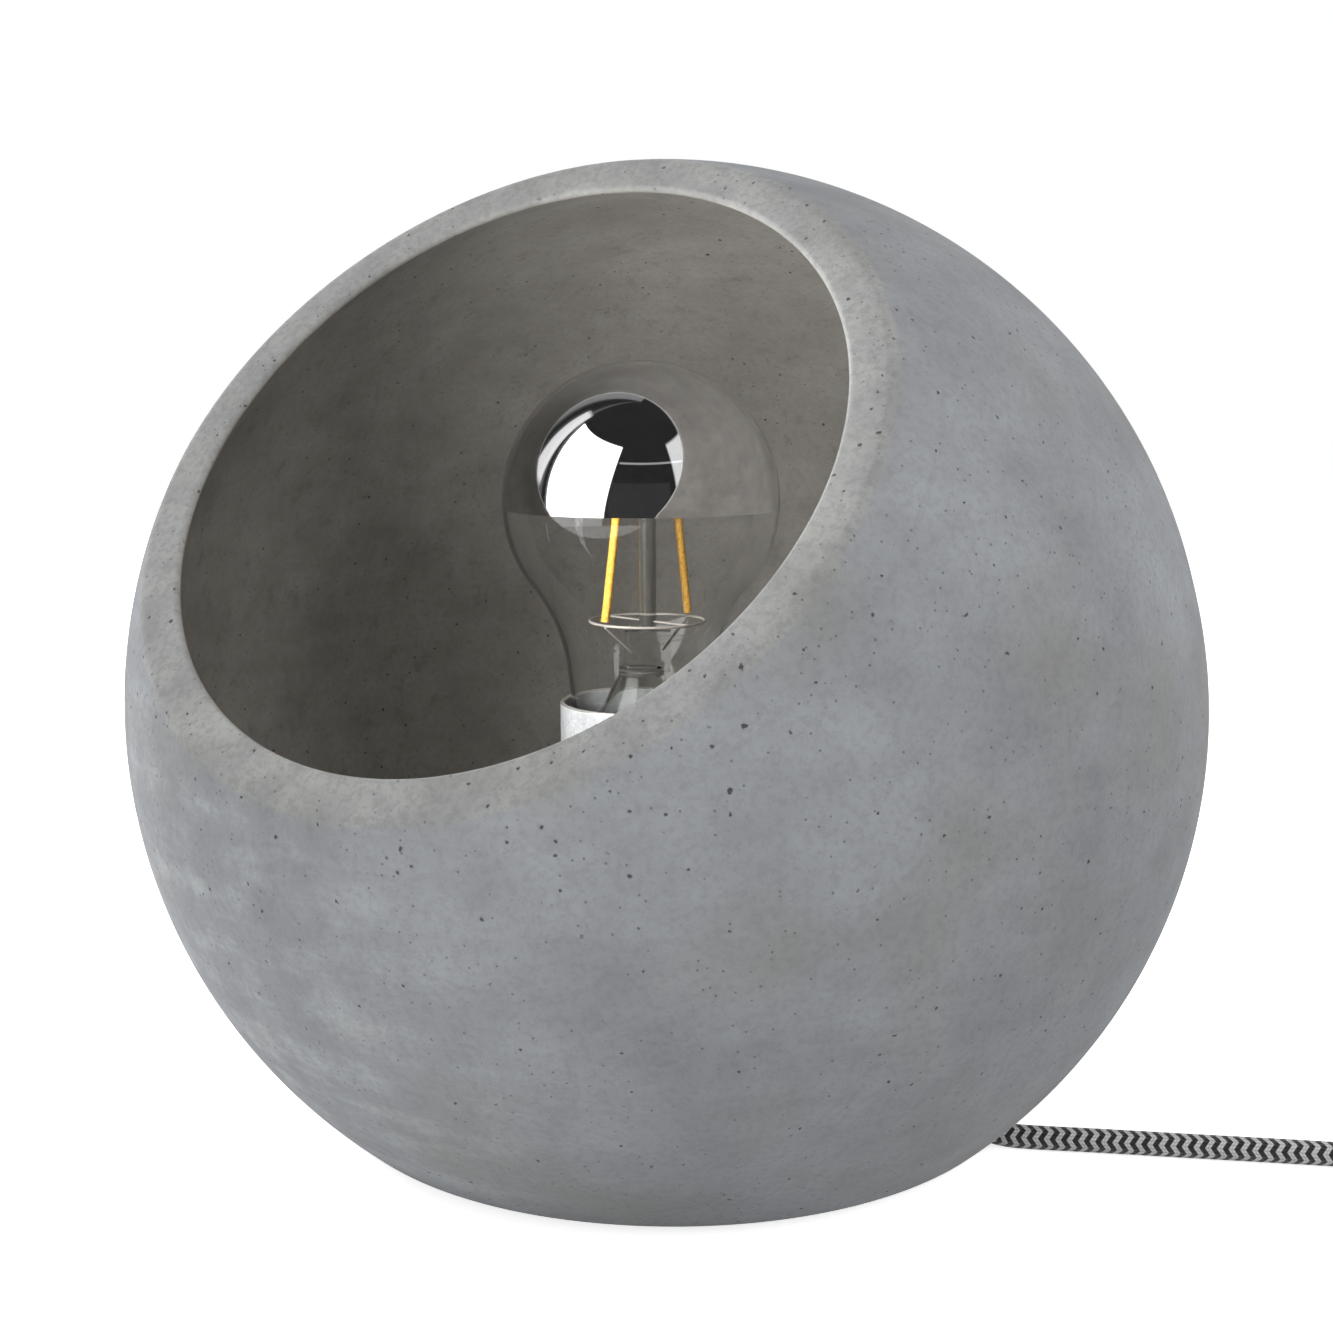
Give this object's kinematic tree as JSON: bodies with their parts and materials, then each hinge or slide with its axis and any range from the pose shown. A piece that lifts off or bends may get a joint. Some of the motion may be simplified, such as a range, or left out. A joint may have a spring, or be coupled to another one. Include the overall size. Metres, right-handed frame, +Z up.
{
  "type": "table lamp",
  "caption": "Ball-shaped cast concrete table lamp with a slanted round mouth, a socket cup inside and a head-mirror bulb, on a flat foot, with a textile cord",
  "frame": {"origin": "on the table, under the middle of the ball, at the bottom of the felt ring", "axes": "+Z up, the slanted mouth faces -Y, the cord leaves toward +X"},
  "size_m": [0.3672, 0.2703, 0.2075],
  "materials": {
    "concrete": "cast grey concrete, matt, cloudy, with small air pores",
    "felt": "black felt",
    "cover_plastic": "matt black moulding",
    "brass": "turned and stamped brass",
    "zinc_steel": "zinc plated",
    "cord_rubber": "black rubber",
    "cord_textile": "woven textile braid, black and pale grey zigzag",
    "cup_coating": "pale grey speckled coating, bright thin lip",
    "holder_resin": "black phenolic",
    "core_ceramic": "unglazed steatite",
    "brown_insulation": "brown wire insulation",
    "blue_insulation": "blue wire insulation",
    "clear_glass": "clear blown glass",
    "mirror_silver": "bright mirror layer",
    "filament_phosphor": "yellow phosphor coating",
    "fine_wire": "bare fine wire",
    "circuit_board": "green circuit board with small pieces",
    "cap_metal": "bright nickel-like cap",
    "black_insulator": "black glass insulator",
    "black_plastic": "fine matt black moulding",
    "pin_metal": "nickel plated pins",
    "pin_sleeve_plastic": "black sleeve"
  },
  "bodies": {
    "lamp": {"concrete_body": "concrete", "felt_ring": "felt", "base_cover": "cover_plastic", "cover_inserts": "brass", "cover_screws": "zinc_steel", "cord_bush": "cord_rubber", "cord_clamp": "cover_plastic", "clamp_inserts": "brass", "clamp_screws": "zinc_steel", "inner_cord": "cord_textile", "stem_tube": "zinc_steel", "stem_washer": "zinc_steel", "lower_nut": "zinc_steel", "upper_nut": "zinc_steel", "socket_cup": "cup_coating", "holder_dome": "holder_resin", "holder_sleeve": "holder_resin", "holder_core": "core_ceramic", "screw_shell": "brass", "spring_contact": "brass", "holder_terminals": "brass", "live_core": "brown_insulation", "neutral_core": "blue_insulation", "cord_lead": "cord_textile", "switch_base": "black_plastic", "switch_cover": "black_plastic", "switch_terminals": "brass", "switch_screws": "zinc_steel", "cord_link": "cord_textile", "cord_coil": "cord_textile", "cord_tail": "cord_textile", "plug_boot": "cord_rubber", "plug_body": "black_plastic", "plug_pins": "pin_metal", "pin_sleeves": "pin_sleeve_plastic"},
    "bulb_tip": {"bulb_insulator": "black_insulator", "bulb_contact": "cap_metal"},
    "bulb": {"bulb_glass": "clear_glass", "bulb_mirror": "mirror_silver", "bulb_stem": "clear_glass", "filament_front": "filament_phosphor", "filament_back": "filament_phosphor", "wire_ring": "fine_wire", "lead_wires": "fine_wire", "bulb_driver": "circuit_board", "bulb_cap": "cap_metal"},
    "rocker": {"switch_rocker": "black_plastic"}
  },
  "joints": [
    {"name": "bulb_lift", "type": "slide", "parent": "lamp", "child": "bulb_tip", "axis": [0, 0, 1], "range_m": [0, 0.02178]},
    {"name": "bulb_turn", "type": "hinge", "parent": "bulb_tip", "child": "bulb", "pos_m": [0, -0.0128, 0.0608], "axis": [0, 0, 1], "range_deg": [0, 2160]},
    {"name": "rocker_tilt", "type": "hinge", "parent": "lamp", "child": "rocker", "pos_m": [0.203, -0.049, 0.013], "axis": [-1, 0, 0], "range_deg": [0, 14]}
  ],
  "couplings": [
    {"joint": "bulb_turn", "follows": "bulb_lift", "rad_per_m": 1730.9}
  ]
}
